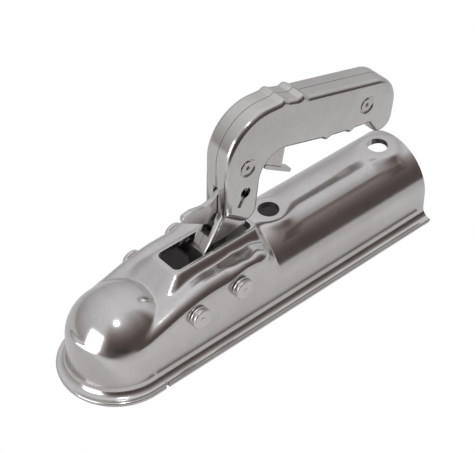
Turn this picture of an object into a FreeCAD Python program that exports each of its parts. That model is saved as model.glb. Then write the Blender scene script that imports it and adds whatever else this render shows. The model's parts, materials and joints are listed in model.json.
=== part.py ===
import FreeCAD, Part
import math
import os

# Trailer coupling head for a 50 mm ball and a 50 mm drawbar tube, in millimetres.
# The origin is the centre of the ball, +X runs back along the drawbar and +Z is up.
# The left side of the head is its -Y side.

# Standard pieces that the head fits
BALL_R = 25.0
TUBE_R = 25.0

# Pressed housing
WALL = 3.0
BALL_GAP = 0.75
TUBE_GAP = 0.75
SHELL_R = BALL_R + BALL_GAP + WALL
SADDLE_R = TUBE_R + TUBE_GAP + WALL
SADDLE_AXIS_Z = -3.2
HOUSING_REAR_X = 219.3
FLANGE_TOP_Z = -19.4
FLANGE_REACH = 6.55
FOOT_R = 5.0
DOME_STRETCH = 4.0
NOTCH_X = 8.0
NOTCH_WIDTH = 3.0
NOTCH_DEPTH = 2.0
NOTCH_SLANT = 0.6

# Squarer front body behind the dome
BODY_REAR_X = 98.8
BODY_HALF = 27.5
BODY_TOP_Z = 26.7
BODY_EDGE_R = 0.8

# Sections of the front body: x, height of the top and radius of the shoulder.
# The nose falls into the dome; the shoulder is sharper beside the lever pin.
NOSE_SECTIONS = [
    (-2.0, 17.5, 14.0),
    (9.0, 22.2, 16.0),
    (20.0, 25.0, 14.0),
    (30.0, BODY_TOP_Z, 11.0),
]
BODY_SECTIONS = [
    (30.0, BODY_TOP_Z, 11.0),
    (42.0, BODY_TOP_Z, 10.0),
    (50.0, 26.0, 12.0),
    (58.0, 25.8, 12.0),
    (63.5, 27.2, 6.5),
    (69.0, 27.2, 6.5),
    (76.0, 27.0, 9.0),
    (86.0, BODY_TOP_Z, 12.5),
    (BODY_REAR_X, BODY_TOP_Z, 26.0),
]

# Raised collar round the lever slot
COLLAR_FOOT_Z = 22.0
COLLAR_TOP_Z = 31.0
COLLAR_FOOT_FRONT_X = 20.4
COLLAR_FOOT_REAR_X = 99.7
COLLAR_FOOT_HALF = 17.8
COLLAR_FOOT_R = 9.0
COLLAR_TOP_FRONT_X = 34.5
COLLAR_TOP_REAR_X = 96.5
COLLAR_TOP_HALF = 11.0
COLLAR_TOP_R = 4.5
SLOT_FRONT_X = 37.0
SLOT_REAR_X = 94.0
SLOT_HALF = 9.0
SLOT_CORNER_R = 3.5

# Bolt holes and their flat pads on the saddle
BOLT_HOLE_R = 6.5
BOLT_FRONT_X = 113.9
BOLT_SPACING = 90.0
PAD_TOP_R = 12.1
PAD_LEAN = 0.62
PAD_HEIGHT = 5.2
PAD_RISE = 0.5
BAND_HALF = 5.0

# Cross pins
JAW_PIN_X = 36.4
JAW_PIN_Z = 11.6
LEVER_PIN_X = 67.7
LEVER_PIN_Z = 14.3
PIN_R = 4.0
PIN_HOLE_GAP = 0.05
PIN_SEAT_Y = 28.2
PIN_SEAT_R = 8.4
PIN_HEAD_R = 6.4
PIN_HEAD_HEIGHT = 2.7
PIN_HEAD_EDGE = 0.5
PIN_BOSS_R = 1.3
PIN_BOSS_HEIGHT = 0.4
WASHER_R = 7.1
WASHER_HEIGHT = 1.8
SPACER_R = 6.2
SIDE_GAP = 0.3

# Pressed handle shells
GRIP_HALF = 10.0
ARM_HALF = 7.0
SHEET = 2.0
GRIP_EDGE_R = 3.5
ARM_EDGE_R = 2.2
FOLD_DROP = 4.0
SEAM_GAP = 0.15
ARM_BOSS_R = 9.5
ARM_HIP_RISE = 6.0
ARM_HIP_R = 6.0
ARM_FOOT_R = 9.0
CHEEK_TOP_Z = 28.5

# Rivets in the handle
RIVET_R = 2.6
RIVET_HEAD_R = 4.2
RIVET_HEAD_HEIGHT = 0.9
RIVET_DISH_R = 5.9
RIVET_DISH_DEPTH = 1.0
RIVET_DISH_LEAN = 0.9
RIVET_BORE_R = 1.2
CATCH_RIVET_X = 89.0
CATCH_RIVET_Z = 77.5
GRIP_RIVET_X = 181.4
GRIP_RIVET_Z = 74.5
KEYHOLE_X = 87.2
KEYHOLE_Z = 60.8
KEYHOLE_R = 3.5
KEYHOLE_TAIL = 9.7
KEYHOLE_TAIL_HALF = 1.4
KEYHOLE_TILT = 30.0

# Safety catch and the slits that it moves in
CATCH_HALF = 1.6
CATCH_SLIT_HALF = CATCH_HALF + 0.6
CATCH_SLIT_LOW_Z = 36.0
CATCH_SLIT_TOP_Z = 66.5
CATCH_WINDOW_HALF = 3.4
CATCH_WINDOW_TOP_Z = 44.0
REAR_SLIT_LOW_Z = 52.0
REAR_SLIT_TOP_Z = 88.0
REAR_SLIT_ROOM = 1.3
TAB_HALF = 2.4
TAB_THICKNESS = 2.5
TAB_FRONT_R = 1.2
TAB_REAR_R = 0.8
TAB_FRONT = (108.6, 62.8)
TAB_REAR = (128.7, 49.6)
TAB_ROOT_FRONT = -0.1
TAB_ROOT_REAR = 0.65
CATCH_SPACER_R = 4.4
CATCH_WIRE_R = 0.6
CATCH_SPRING_PITCH = 1.5
CATCH_SPRING_TURNS = 2.5
CATCH_LEG = 6.0

# Cam at the arm's lower end
CAM_GAP = 0.1
CAM_RIVET_R = 1.8
CAM_RIVET_HEAD_R = 2.8
CAM_RIVET_HEAD_HEIGHT = 1.1
CAM_RIVET_SPREAD = 4.9
CAM_RIVET_RISE = 9.2

# Ball jaw
JAW_SEAT_GAP = 0.4
JAW_WIRE_R = 1.0
JAW_SPRING_PITCH = 2.1
JAW_SPRING_TURNS = 2
JAW_SPRING_GAP = 0.92
JAW_LEG_REAR = 7.0
JAW_LEG_FRONT = 7.6
JAW_LEG_CROSS = 7.0
JAW_LEG_ANGLE = 104.0
JAW_COIL = JAW_SPRING_PITCH * (JAW_SPRING_TURNS + (JAW_LEG_ANGLE - 90) / 360)
JAW_HALF = min(BODY_HALF, SHELL_R) - WALL - JAW_SPRING_GAP - JAW_COIL - 2 * JAW_WIRE_R - SIDE_GAP

# Outlines seen from the left side: x, z and the corner radius of each corner
GRIP_OUTLINE = [
    (73.4, 48.5, 0.0),
    (75.2, 112.4, 29.0),
    (113.2, 109.6, 3.0),
    (116.0, 110.9, 1.5),
    (120.0, 108.3, 3.0),
    (127.2, 105.7, 3.0),
    (130.6, 107.0, 1.5),
    (135.0, 103.4, 3.0),
    (208.0, 83.2, 21.0),
    (203.6, 47.9, 9.0),
    (191.8, 47.9, 4.5),
    (184.8, 58.6, 4.0),
    (172.6, 60.8, 2.5),
    (168.8, 59.4, 1.5),
    (165.4, 62.2, 2.5),
    (154.2, 65.0, 2.5),
    (149.8, 64.2, 1.5),
    (145.8, 67.2, 2.5),
    (101.2, 80.8, 15.0),
    (95.0, 30.9, 8.0),
]


def along_tab(share):
    """A point on the finger tab's middle line: 0 is its front end and 1 its rear end."""
    return tuple(a + share * (b - a) for a, b in zip(TAB_FRONT, TAB_REAR))


CATCH_OUTLINE = [
    (48.9, 54.8, 1.5),
    (66.0, 44.2, 1.0),
    (72.4, 50.6, 1.5),
    (75.6, 40.5, 1.0),
    (81.5, 40.5, 1.0),
    (86.0, 61.0, 8.0),
    (*along_tab(TAB_ROOT_FRONT), 1.0),
    (*along_tab(TAB_ROOT_REAR), 1.0),
    (124.3, 68.0, 0.0),
    (126.7, 80.5, 3.0),
    (112.0, 84.5, 6.0),
    (92.0, 85.5, 6.0),
    (80.0, 83.5, 6.0),
    (78.6, 66.5, 6.0),
    (70.6, 58.6, 7.0),
    (64.4, 57.4, 5.0),
    (55.1, 59.3, 4.0),
    (49.4, 58.4, 2.2),
]
CAM_OUTLINE = [
    (60.4, 27.6, 2.0),
    (75.6, 27.6, 3.0),
    (76.8, 5.0, 8.5),
    (63.0, 5.0, 7.0),
    (50.6, 0.6, 2.4),
    (47.6, 5.8, 2.4),
    (58.4, 15.5, 8.0),
]
JAW_OUTLINE = [
    (22.0, 12.0, 2.0),
    (36.0, 21.4, 8.0),
    (45.6, 18.6, 6.0),
    (45.4, 2.0, 6.0),
    (41.0, -13.0, 6.0),
    (28.5, -21.4, 3.0),
    (18.6, -18.6, 1.2),
]

# Corners of the arm that runs down from the neck
ARM_FRONT_TOP = (77.5, 56.0)
ARM_FRONT_LOW = (57.2, 23.5)
ARM_REAR_TOP = (92.0, 40.0)
ARM_REAR_FOOT = (91.0, 32.4)
ARM_REAR_LOW = (73.5, 31.4)

# Longer than the whole head, for cutters that pass right through it
CUT_LENGTH = 400.0


def v(x, y, z):
    return FreeCAD.Vector(x, y, z)


def on_side(a, b):
    """A point of a side view, on the middle plane."""
    return v(a, 0, b)


def on_plan(z):
    """Points of a plan view, at height z."""
    return lambda a, b: v(a, b, z)


def on_section(x):
    """Points of a cross-section, at the place x."""
    return lambda a, b: v(x, a, b)


def turn_sign(corners):
    """+1 for an outline that runs anticlockwise, -1 for one that runs clockwise."""
    area = 0.0
    for (ax, ay, _), (bx, by, _) in zip(corners, corners[1:] + corners[:1]):
        area += ax * by - bx * ay
    return 1.0 if area > 0 else -1.0


def unit(a, b):
    length = math.hypot(b[0] - a[0], b[1] - a[1])
    return ((b[0] - a[0]) / length, (b[1] - a[1]) / length)


def inset_corners(corners, inset):
    """Moves every side inwards by the inset, so that rounded corners stay concentric."""
    if inset == 0:
        return list(corners)
    sign = turn_sign(corners)
    moved = []
    for before, here, after in zip(corners[-1:] + corners[:-1], corners, corners[1:] + corners[:1]):
        d1 = unit(before, here)
        d2 = unit(here, after)
        n1 = (-d1[1] * sign, d1[0] * sign)
        n2 = (-d2[1] * sign, d2[0] * sign)
        cross = d1[0] * d2[1] - d1[1] * d2[0]
        scale = inset / (1.0 + n1[0] * n2[0] + n1[1] * n2[1])
        a = here[0] + (n1[0] + n2[0]) * scale
        b = here[1] + (n1[1] + n2[1]) * scale
        radius = here[2]
        if radius > 0:
            convex = cross * sign > 0
            radius = max(radius - inset, 0.3) if convex else radius + inset
        moved.append((a, b, radius))
    return moved


def outline(corners, place, inset=0.0):
    """A closed wire with a tangent arc at every corner that has a radius."""
    corners = inset_corners(corners, inset)
    starts = []
    ends = []
    middles = []
    for before, here, after in zip(corners[-1:] + corners[:-1], corners, corners[1:] + corners[:1]):
        d1 = unit(before, here)
        d2 = unit(here, after)
        dot = max(-1.0, min(1.0, d1[0] * d2[0] + d1[1] * d2[1]))
        turn = math.acos(dot)
        if here[2] == 0 or turn < 0.01:
            starts.append(here[:2])
            ends.append(here[:2])
            middles.append(None)
            continue
        reach = here[2] * math.tan(turn / 2)
        starts.append((here[0] - d1[0] * reach, here[1] - d1[1] * reach))
        ends.append((here[0] + d2[0] * reach, here[1] + d2[1] * reach))
        bisector = unit((0, 0), (d2[0] - d1[0], d2[1] - d1[1]))
        depth = here[2] / math.cos(turn / 2) - here[2]
        middles.append((here[0] + bisector[0] * depth, here[1] + bisector[1] * depth))
    edges = []
    for i in range(len(corners)):
        if middles[i]:
            arc = Part.Arc(place(*starts[i]), place(*middles[i]), place(*ends[i]))
            edges.append(arc.toShape())
        a = ends[i]
        b = starts[(i + 1) % len(corners)]
        if math.hypot(b[0] - a[0], b[1] - a[1]) > 1e-4:
            edges.append(Part.makeLine(place(*a), place(*b)))
    return Part.Wire(edges)


def side_plate(corners, y_low, y_high, inset=0.0):
    """A side-view outline made solid between two y values."""
    face = Part.Face(outline(corners, on_side, inset))
    plate = face.extrude(v(0, y_high - y_low, 0))
    plate.translate(v(0, y_low, 0))
    return plate


def cross_rod(x, z, radius, y_low, y_high):
    """A round bar across the head."""
    return Part.makeCylinder(radius, y_high - y_low, v(x, y_low, z), v(0, 1, 0))


def cross_tube(x, z, bore, radius, y_low, y_high):
    return cross_rod(x, z, radius, y_low, y_high).cut(cross_rod(x, z, bore, y_low - 1, y_high + 1))


def mirrored(shape):
    return shape.mirror(v(0, 0, 0), v(0, 1, 0))


def united(shapes):
    return shapes[0].fuse(shapes[1:]).removeSplitter()


def middle_box(x_low, x_high, half, z_low, z_high):
    """A box that is centred on the middle plane."""
    return Part.makeBox(x_high - x_low, 2 * half, z_high - z_low, v(x_low, -half, z_low))


def below(z):
    """Everything under the height z."""
    return middle_box(-CUT_LENGTH, CUT_LENGTH, CUT_LENGTH, z - CUT_LENGTH, z)


# Housing

FLANGE_BOTTOM_Z = FLANGE_TOP_Z - WALL
DEEP_Z = -60.0


def body_section(x, top, corner, inset):
    """Front body across the head: straight low walls that lean in to a rounded shoulder."""
    corners = [
        (-SHELL_R, DEEP_Z, 0.0),
        (-SHELL_R, SADDLE_AXIS_Z, 0.0),
        (-BODY_HALF, top, corner),
        (BODY_HALF, top, corner),
        (SHELL_R, SADDLE_AXIS_Z, 0.0),
        (SHELL_R, DEEP_Z, 0.0),
    ]
    return outline(corners, on_section(x), inset)


def front_body(inset):
    """The squarer body: a nose blended into the dome, and straight runs between the other sections."""
    nose = Part.makeLoft([body_section(x, top, r, inset) for x, top, r in NOSE_SECTIONS], True, False)
    runs = [body_section(x, top, r, inset) for x, top, r in BODY_SECTIONS[:-1]]
    x, top, radius = BODY_SECTIONS[-1]
    runs.append(body_section(x - inset, top, radius, inset))
    rear = Part.makeLoft(runs, True, True)
    if inset == 0:
        boxes = [(e, e.BoundBox) for e in rear.Edges]
        rim = [e for e, box in boxes if box.XMin > BODY_REAR_X - 0.01 and box.ZMax > DEEP_Z + 1]
        rear = rear.makeFillet(BODY_EDGE_R, rim)
    return nose, rear


def dome(inset):
    """Half ball over a round wall, stretched a little to the rear."""
    radius = SHELL_R - inset
    ball = Part.makeSphere(radius, v(0, 0, 0))
    stretch = Part.makeCylinder(radius, DOME_STRETCH, v(0, 0, 0), v(1, 0, 0))
    rear_ball = Part.makeSphere(radius, v(DOME_STRETCH, 0, 0))
    wall = Part.makeCylinder(radius, -DEEP_Z, v(0, 0, DEEP_Z))
    return [ball, stretch, rear_ball, wall]


def saddle(inset, rear_x):
    """Half-round trough over the drawbar tube, with straight walls down to the flange."""
    radius = SADDLE_R - inset
    start = BODY_REAR_X - 2 * WALL
    length = rear_x - start
    trough = Part.makeCylinder(radius, length, v(start, 0, SADDLE_AXIS_Z), v(1, 0, 0))
    walls = Part.makeBox(length, 2 * radius, SADDLE_AXIS_Z - DEEP_Z, v(start, -radius, DEEP_Z))
    return [trough, walls]


def bolt_xs():
    return [BOLT_FRONT_X, BOLT_FRONT_X + BOLT_SPACING]


def pads(inset):
    """Flat raised discs with leaning walls round the bolt holes, joined by a flat band."""
    depth = SADDLE_R + PAD_RISE - inset
    top_r = PAD_TOP_R + inset * (PAD_LEAN - math.hypot(1, PAD_LEAN))
    foot_r = top_r + PAD_LEAN * PAD_HEIGHT
    foot_z = SADDLE_AXIS_Z + depth - PAD_HEIGHT
    discs = [Part.makeCone(foot_r, top_r, PAD_HEIGHT, v(x, 0, foot_z)) for x in bolt_xs()]
    half = BAND_HALF - inset / 2
    band = Part.makeBox(BOLT_SPACING, 2 * half, depth, v(BOLT_FRONT_X, -half, SADDLE_AXIS_Z))
    return discs + [band]


def rectangle(x_low, x_high, half, radius):
    return [(x_low, -half, radius), (x_high, -half, radius), (x_high, half, radius), (x_low, half, radius)]


def collar(inset):
    """Raised rim round the slot, wider at its foot than at its top."""
    foot = rectangle(COLLAR_FOOT_FRONT_X, COLLAR_FOOT_REAR_X, COLLAR_FOOT_HALF, COLLAR_FOOT_R)
    top = rectangle(COLLAR_TOP_FRONT_X, COLLAR_TOP_REAR_X, COLLAR_TOP_HALF, COLLAR_TOP_R)
    low = outline(foot, on_plan(COLLAR_FOOT_Z - inset), inset)
    high = outline(top, on_plan(COLLAR_TOP_Z - inset), inset)
    return Part.makeLoft([low, high], True, True)


def slot_cutter():
    corners = rectangle(SLOT_FRONT_X, SLOT_REAR_X, SLOT_HALF, SLOT_CORNER_R)
    face = Part.Face(outline(corners, on_plan(COLLAR_FOOT_Z - 2 * WALL)))
    return face.extrude(v(0, 0, COLLAR_TOP_Z))


def pin_places():
    return [(JAW_PIN_X, JAW_PIN_Z), (LEVER_PIN_X, LEVER_PIN_Z)]


def flange():
    """Foot flange round the nose and along both sides, with a concave bend into the wall."""
    reach = SHELL_R + FLANGE_REACH
    plate = Part.makeCylinder(reach, WALL, v(0, 0, FLANGE_BOTTOM_Z))
    plate = plate.fuse(Part.makeBox(HOUSING_REAR_X, 2 * reach, WALL, v(0, -reach, FLANGE_BOTTOM_Z)))
    inner = SHELL_R - WALL / 2
    low = v(inner, 0, FLANGE_TOP_Z)
    a = v(SHELL_R + FOOT_R, 0, FLANGE_TOP_Z)
    b = v(SHELL_R, 0, FLANGE_TOP_Z + FOOT_R)
    high = v(inner, 0, FLANGE_TOP_Z + FOOT_R)
    slack = FOOT_R * (1 - math.sqrt(0.5))
    bend = Part.Arc(a, v(SHELL_R + slack, 0, FLANGE_TOP_Z + slack), b).toShape()
    wire = Part.Wire([Part.makeLine(low, a), bend, Part.makeLine(b, high), Part.makeLine(high, low)])
    face = Part.Face(wire)
    nose = face.revolve(v(0, 0, 0), v(0, 0, 1), 180)
    nose.rotate(v(0, 0, 0), v(0, 0, 1), 90)
    side = face.copy()
    side.rotate(v(0, 0, 0), v(0, 0, 1), 90)
    side = side.extrude(v(HOUSING_REAR_X, 0, 0))
    return [plate, nose, side, mirrored(side)]


def flange_notch():
    """Small step cut in the flange's edge where the nose trim meets the side trim."""
    reach = SHELL_R + FLANGE_REACH
    tip = reach - NOTCH_DEPTH
    corners = [(NOTCH_X - NOTCH_WIDTH / 2, reach + 1, 0.0), (NOTCH_X, tip, 0.0),
               (NOTCH_X + NOTCH_WIDTH / 2, tip + NOTCH_SLANT, 0.0),
               (NOTCH_X + NOTCH_WIDTH / 2, reach + 1, 0.0)]
    face = Part.Face(outline(corners, on_plan(FLANGE_BOTTOM_Z - 1)))
    cutter = face.extrude(v(0, 0, WALL + 2))
    return [cutter, mirrored(cutter)]


def pin_seats():
    """Flat spots pressed into the side walls under the pins' washers."""
    raised = []
    cutters = []
    for x, z in pin_places():
        raised.append(cross_rod(x, z, PIN_SEAT_R, -PIN_SEAT_Y, PIN_SEAT_Y))
        cutter = cross_rod(x, z, PIN_SEAT_R, PIN_SEAT_Y, PIN_SEAT_Y + WALL)
        cutters += [cutter, mirrored(cutter)]
    return raised, cutters


def housing():
    outer = list(front_body(0)) + dome(0) + saddle(0, HOUSING_REAR_X) + pads(0) + [collar(0)]
    raised, seat_cutters = pin_seats()
    outer = united(outer + raised + flange())
    inner = list(front_body(WALL)) + dome(WALL) + saddle(WALL, HOUSING_REAR_X + WALL)
    inner = united(inner + pads(WALL) + [collar(WALL)])
    cutters = [inner, slot_cutter(), below(FLANGE_BOTTOM_Z)] + flange_notch() + seat_cutters
    for x in bolt_xs():
        cutters.append(Part.makeCylinder(BOLT_HOLE_R, 2 * SADDLE_R, v(x, 0, 0)))
    for x, z in pin_places():
        cutters.append(cross_rod(x, z, PIN_R + PIN_HOLE_GAP, -2 * SHELL_R, 2 * SHELL_R))
    return outer.cut(cutters)


# Pins, washers and spacers

PIN_HEAD_Y = PIN_SEAT_Y + WASHER_HEIGHT


def inner_wall_y(z):
    """Distance of the front body's inner wall from the middle plane at height z."""
    rise = BODY_TOP_Z - SADDLE_AXIS_Z
    lean = (SHELL_R - BODY_HALF) * (z - SADDLE_AXIS_Z) / rise
    return SHELL_R - lean - WALL * math.hypot(1, (SHELL_R - BODY_HALF) / rise)


def pin(x, z):
    """A shank with a formed head and a small raised centre at each end."""
    shank = cross_rod(x, z, PIN_R, -PIN_HEAD_Y, PIN_HEAD_Y)
    head = cross_rod(x, z, PIN_HEAD_R, PIN_HEAD_Y, PIN_HEAD_Y + PIN_HEAD_HEIGHT)
    rim = [e for e in head.Edges if e.Length > 1 and e.BoundBox.YMin > PIN_HEAD_Y + 0.5 and e.Closed]
    head = head.makeChamfer(PIN_HEAD_EDGE, rim)
    face_y = PIN_HEAD_Y + PIN_HEAD_HEIGHT
    boss = cross_rod(x, z, PIN_BOSS_R, face_y - PIN_BOSS_HEIGHT, face_y + PIN_BOSS_HEIGHT)
    head = head.fuse(boss)
    return united([shank, head, mirrored(head)])


def pin_washers(x, z):
    washer = cross_tube(x, z, PIN_R + PIN_HOLE_GAP, WASHER_R, PIN_SEAT_Y, PIN_HEAD_Y)
    return Part.makeCompound([washer, mirrored(washer)])


def spacers(x, z, y_inner):
    """Tubes on a pin that keep its moving piece in the middle of the housing."""
    y_outer = inner_wall_y(z + SPACER_R) - SIDE_GAP
    tube = cross_tube(x, z, PIN_R + PIN_HOLE_GAP, SPACER_R, y_inner + SIDE_GAP, y_outer)
    return Part.makeCompound([tube, mirrored(tube)])


# Handle

def arm_corners():
    """Arm that runs down from the neck into the slot and round the lever pin."""
    return [
        (ARM_FRONT_TOP[0], ARM_FRONT_TOP[1], 0.0),
        (ARM_REAR_TOP[0], ARM_REAR_TOP[1], 0.0),
        (ARM_REAR_FOOT[0], ARM_REAR_FOOT[1], 1.5),
        (ARM_REAR_LOW[0], ARM_REAR_LOW[1], 6.0),
        (LEVER_PIN_X + ARM_BOSS_R, LEVER_PIN_Z + ARM_HIP_RISE, ARM_HIP_R),
        (LEVER_PIN_X + ARM_BOSS_R, LEVER_PIN_Z - ARM_BOSS_R, ARM_FOOT_R),
        (LEVER_PIN_X - ARM_BOSS_R, LEVER_PIN_Z - ARM_BOSS_R, ARM_FOOT_R),
        (ARM_FRONT_LOW[0], ARM_FRONT_LOW[1], 3.0),
    ]


def is_fold(edge):
    """The neck's sloping bottom edge, which is folded instead of rounded."""
    box = edge.BoundBox
    return box.ZMax < GRIP_OUTLINE[0][1] + WALL and box.XLength > 10


def pressed_half(corners, half, edge_r, inset):
    """Left half of a pressed form, with its outer edges rounded."""
    solid = side_plate(corners, -half + inset, 0, inset)
    rim = []
    for edge in solid.Edges:
        box = edge.BoundBox
        if box.YMax < -half + inset + 1e-4 and not is_fold(edge):
            rim.append(edge)
    return solid.makeFillet(edge_r - inset, rim)


def handle_form(inset):
    """Left half of the handle's solid form: grip and neck, fold, and arm."""
    grip = pressed_half(GRIP_OUTLINE, GRIP_HALF, GRIP_EDGE_R, inset)
    arm = pressed_half(arm_corners(), ARM_HALF, ARM_EDGE_R, inset)
    return grip.cut(fold_cutter(inset, GRIP_HALF - ARM_HALF)).fuse(arm)


def fold_cutter(inset, drop):
    """Wedge that slopes the neck's side inwards over the last few millimetres above the arm."""
    front = GRIP_OUTLINE[0]
    rear = GRIP_OUTLINE[-1]
    along = unit(front[:2], rear[:2])
    span = math.hypot(rear[0] - front[0], rear[1] - front[1])
    up = (-along[1], along[0])
    y_out = -GRIP_HALF + inset
    high = v(0, y_out, 0) + v(up[0], 0, up[1]) * FOLD_DROP
    low = v(0, y_out + drop, 0)
    outer = v(0, y_out - 1, 0) + v(up[0], 0, up[1]) * FOLD_DROP
    under = v(0, y_out - 1, 0) - v(up[0], 0, up[1]) * 2
    inner = v(0, y_out + drop, 0) - v(up[0], 0, up[1]) * 2
    wire = Part.makePolygon([high, low, inner, under, outer, high])
    wedge = Part.Face(wire).extrude(v(along[0], 0, along[1]) * 2 * span)
    wedge.translate(v(front[0] - along[0] * span / 2, 0, front[1] - along[1] * span / 2))
    wedge.translate(v(up[0], 0, up[1]) * inset)
    return wedge


def keyhole():
    round_part = cross_rod(KEYHOLE_X, KEYHOLE_Z, KEYHOLE_R, -GRIP_HALF - 1, -GRIP_HALF + 2 * SHEET)
    tail = Part.makeBox(2 * KEYHOLE_TAIL_HALF, 2 * SHEET + 1, KEYHOLE_TAIL,
                        v(KEYHOLE_X - KEYHOLE_TAIL_HALF, -GRIP_HALF - 1, KEYHOLE_Z - KEYHOLE_TAIL))
    tail.rotate(v(KEYHOLE_X, 0, KEYHOLE_Z), v(0, 1, 0), KEYHOLE_TILT)
    return round_part.fuse(tail)


def rivet_places():
    return [(CATCH_RIVET_X, CATCH_RIVET_Z), (GRIP_RIVET_X, GRIP_RIVET_Z)]


def rivet_dish(x, z):
    """Recess with leaning sides in the left shell's face, for a rivet's head."""
    lean = RIVET_DISH_DEPTH * RIVET_DISH_LEAN
    start = v(x, -GRIP_HALF - RIVET_DISH_DEPTH, z)
    return Part.makeCone(RIVET_DISH_R + lean, RIVET_DISH_R - lean, 2 * RIVET_DISH_DEPTH, start, v(0, 1, 0))


def catch_slits():
    """Openings in the edge flanges where the catch's beak and finger tab come out."""
    ahead = ARM_FRONT_LOW[0]
    front = middle_box(ahead, CATCH_RIVET_X, CATCH_SLIT_HALF, CATCH_SLIT_LOW_Z, CATCH_SLIT_TOP_Z)
    window = middle_box(ahead, ARM_FRONT_TOP[0], CATCH_WINDOW_HALF, CATCH_SLIT_LOW_Z, CATCH_WINDOW_TOP_Z)
    behind = max(x for x, _, _ in CATCH_OUTLINE) + REAR_SLIT_ROOM
    start = CATCH_RIVET_X + CATCH_SPACER_R
    rear = middle_box(start, behind, CATCH_SLIT_HALF, REAR_SLIT_LOW_Z, REAR_SLIT_TOP_Z)
    return [front, window, rear]


def cheek_opening():
    """Clears the edge flanges under the housing's roof, so that the arm ends in two plain cheeks."""
    return middle_box(-CUT_LENGTH, CUT_LENGTH, ARM_HALF - SHEET, CHEEK_TOP_Z - CUT_LENGTH, CHEEK_TOP_Z)


def left_shell():
    shell = handle_form(0).cut(handle_form(SHEET))
    seam = middle_box(-CUT_LENGTH, CUT_LENGTH, SEAM_GAP, -CUT_LENGTH, CUT_LENGTH)
    cutters = catch_slits() + [keyhole(), cheek_opening(), seam]
    for x, z in rivet_places():
        cutters.append(cross_rod(x, z, RIVET_R + PIN_HOLE_GAP, -2 * GRIP_HALF, 0))
        cutters.append(rivet_dish(x, z))
    cutters.append(cross_rod(LEVER_PIN_X, LEVER_PIN_Z, PIN_R + PIN_HOLE_GAP, -2 * GRIP_HALF, 0))
    for x, z in cam_rivet_places():
        cutters.append(cross_rod(x, z, CAM_RIVET_R + PIN_HOLE_GAP, -2 * GRIP_HALF, 0))
    return shell.cut(cutters)


def rivet(x, z):
    """Tubular rivet whose two heads sit in the dishes of the shells."""
    seat = GRIP_HALF - RIVET_DISH_DEPTH
    shank = cross_rod(x, z, RIVET_R, -seat, seat)
    head = cross_rod(x, z, RIVET_HEAD_R, seat, seat + RIVET_HEAD_HEIGHT)
    body = united([shank, head, mirrored(head)])
    return body.cut(cross_rod(x, z, RIVET_BORE_R, -2 * GRIP_HALF, 2 * GRIP_HALF))


def grip_spacer():
    """Tube on the grip rivet that holds the two shells apart."""
    half = GRIP_HALF - SHEET
    return cross_tube(GRIP_RIVET_X, GRIP_RIVET_Z, RIVET_R + PIN_HOLE_GAP, CATCH_SPACER_R, -half, half)


# Cam

def cam_rivet_places():
    z = LEVER_PIN_Z + CAM_RIVET_RISE
    return [(LEVER_PIN_X - CAM_RIVET_SPREAD, z), (LEVER_PIN_X + CAM_RIVET_SPREAD, z)]


def cam_block():
    """Solid cam between the arm's cheeks, whose nose holds the jaw shut."""
    half = ARM_HALF - SHEET - CAM_GAP
    block = side_plate(CAM_OUTLINE, -half, half)
    bores = [cross_rod(LEVER_PIN_X, LEVER_PIN_Z, PIN_R + PIN_HOLE_GAP, -GRIP_HALF, GRIP_HALF)]
    for x, z in cam_rivet_places():
        bores.append(cross_rod(x, z, CAM_RIVET_R + PIN_HOLE_GAP, -GRIP_HALF, GRIP_HALF))
    return block.cut(bores)


def cam_rivets():
    rivets = []
    for x, z in cam_rivet_places():
        shank = cross_rod(x, z, CAM_RIVET_R, -ARM_HALF, ARM_HALF)
        head = cross_rod(x, z, CAM_RIVET_HEAD_R, ARM_HALF, ARM_HALF + CAM_RIVET_HEAD_HEIGHT)
        rivets.append(united([shank, head, mirrored(head)]))
    return Part.makeCompound(rivets)


# Springs

def coil(x, z, mean_r, wire_r, y_outer, pitch, turns, end_angle):
    """Coil round a cross pin that winds inwards from y_outer and ends at the angle."""
    helix = Part.makeHelix(pitch, pitch * turns, mean_r, 0, True)
    wire = Part.Wire(helix.Edges)
    ring = Part.Wire(Part.makeCircle(wire_r, v(mean_r, 0, 0), v(0, 1, 0)))
    solid = wire.makePipeShell([ring], True, True)
    solid.rotate(v(0, 0, 0), v(1, 0, 0), -90)
    solid.rotate(v(0, 0, 0), v(0, 1, 0), -(end_angle - 360 * turns))
    solid.translate(v(x, y_outer, z))
    return solid


def rod_between(a, b, radius):
    along = b - a
    return Part.makeCylinder(radius, along.Length, a, along)


def on_circle(x, y, z, radius, angle):
    turn = math.radians(angle)
    return v(x + radius * math.cos(turn), y, z + radius * math.sin(turn))


def jaw_spring():
    """Torsion spring round the left jaw spacer: one leg under the roof, one over the jaw's lip."""
    mean_r = SPACER_R + JAW_WIRE_R + SIDE_GAP
    turns = JAW_COIL / JAW_SPRING_PITCH
    y_inner = -JAW_HALF - JAW_WIRE_R - SIDE_GAP
    y_outer = y_inner - JAW_COIL
    body = coil(JAW_PIN_X, JAW_PIN_Z, mean_r, JAW_WIRE_R, y_outer, JAW_SPRING_PITCH, turns, JAW_LEG_ANGLE)
    rear_start = on_circle(JAW_PIN_X, y_outer, JAW_PIN_Z, mean_r, 90)
    rear = rod_between(rear_start, rear_start + v(JAW_LEG_REAR, 0, 0), JAW_WIRE_R)
    front_start = on_circle(JAW_PIN_X, y_inner, JAW_PIN_Z, mean_r, JAW_LEG_ANGLE)
    turn = math.radians(JAW_LEG_ANGLE)
    corner = front_start + v(-math.sin(turn), 0, math.cos(turn)) * JAW_LEG_FRONT
    front = rod_between(front_start, corner, JAW_WIRE_R)
    cross = rod_between(corner, corner + v(0, JAW_LEG_CROSS, 0), JAW_WIRE_R)
    return united([body, rear, front, Part.makeSphere(JAW_WIRE_R, corner), cross])


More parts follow.
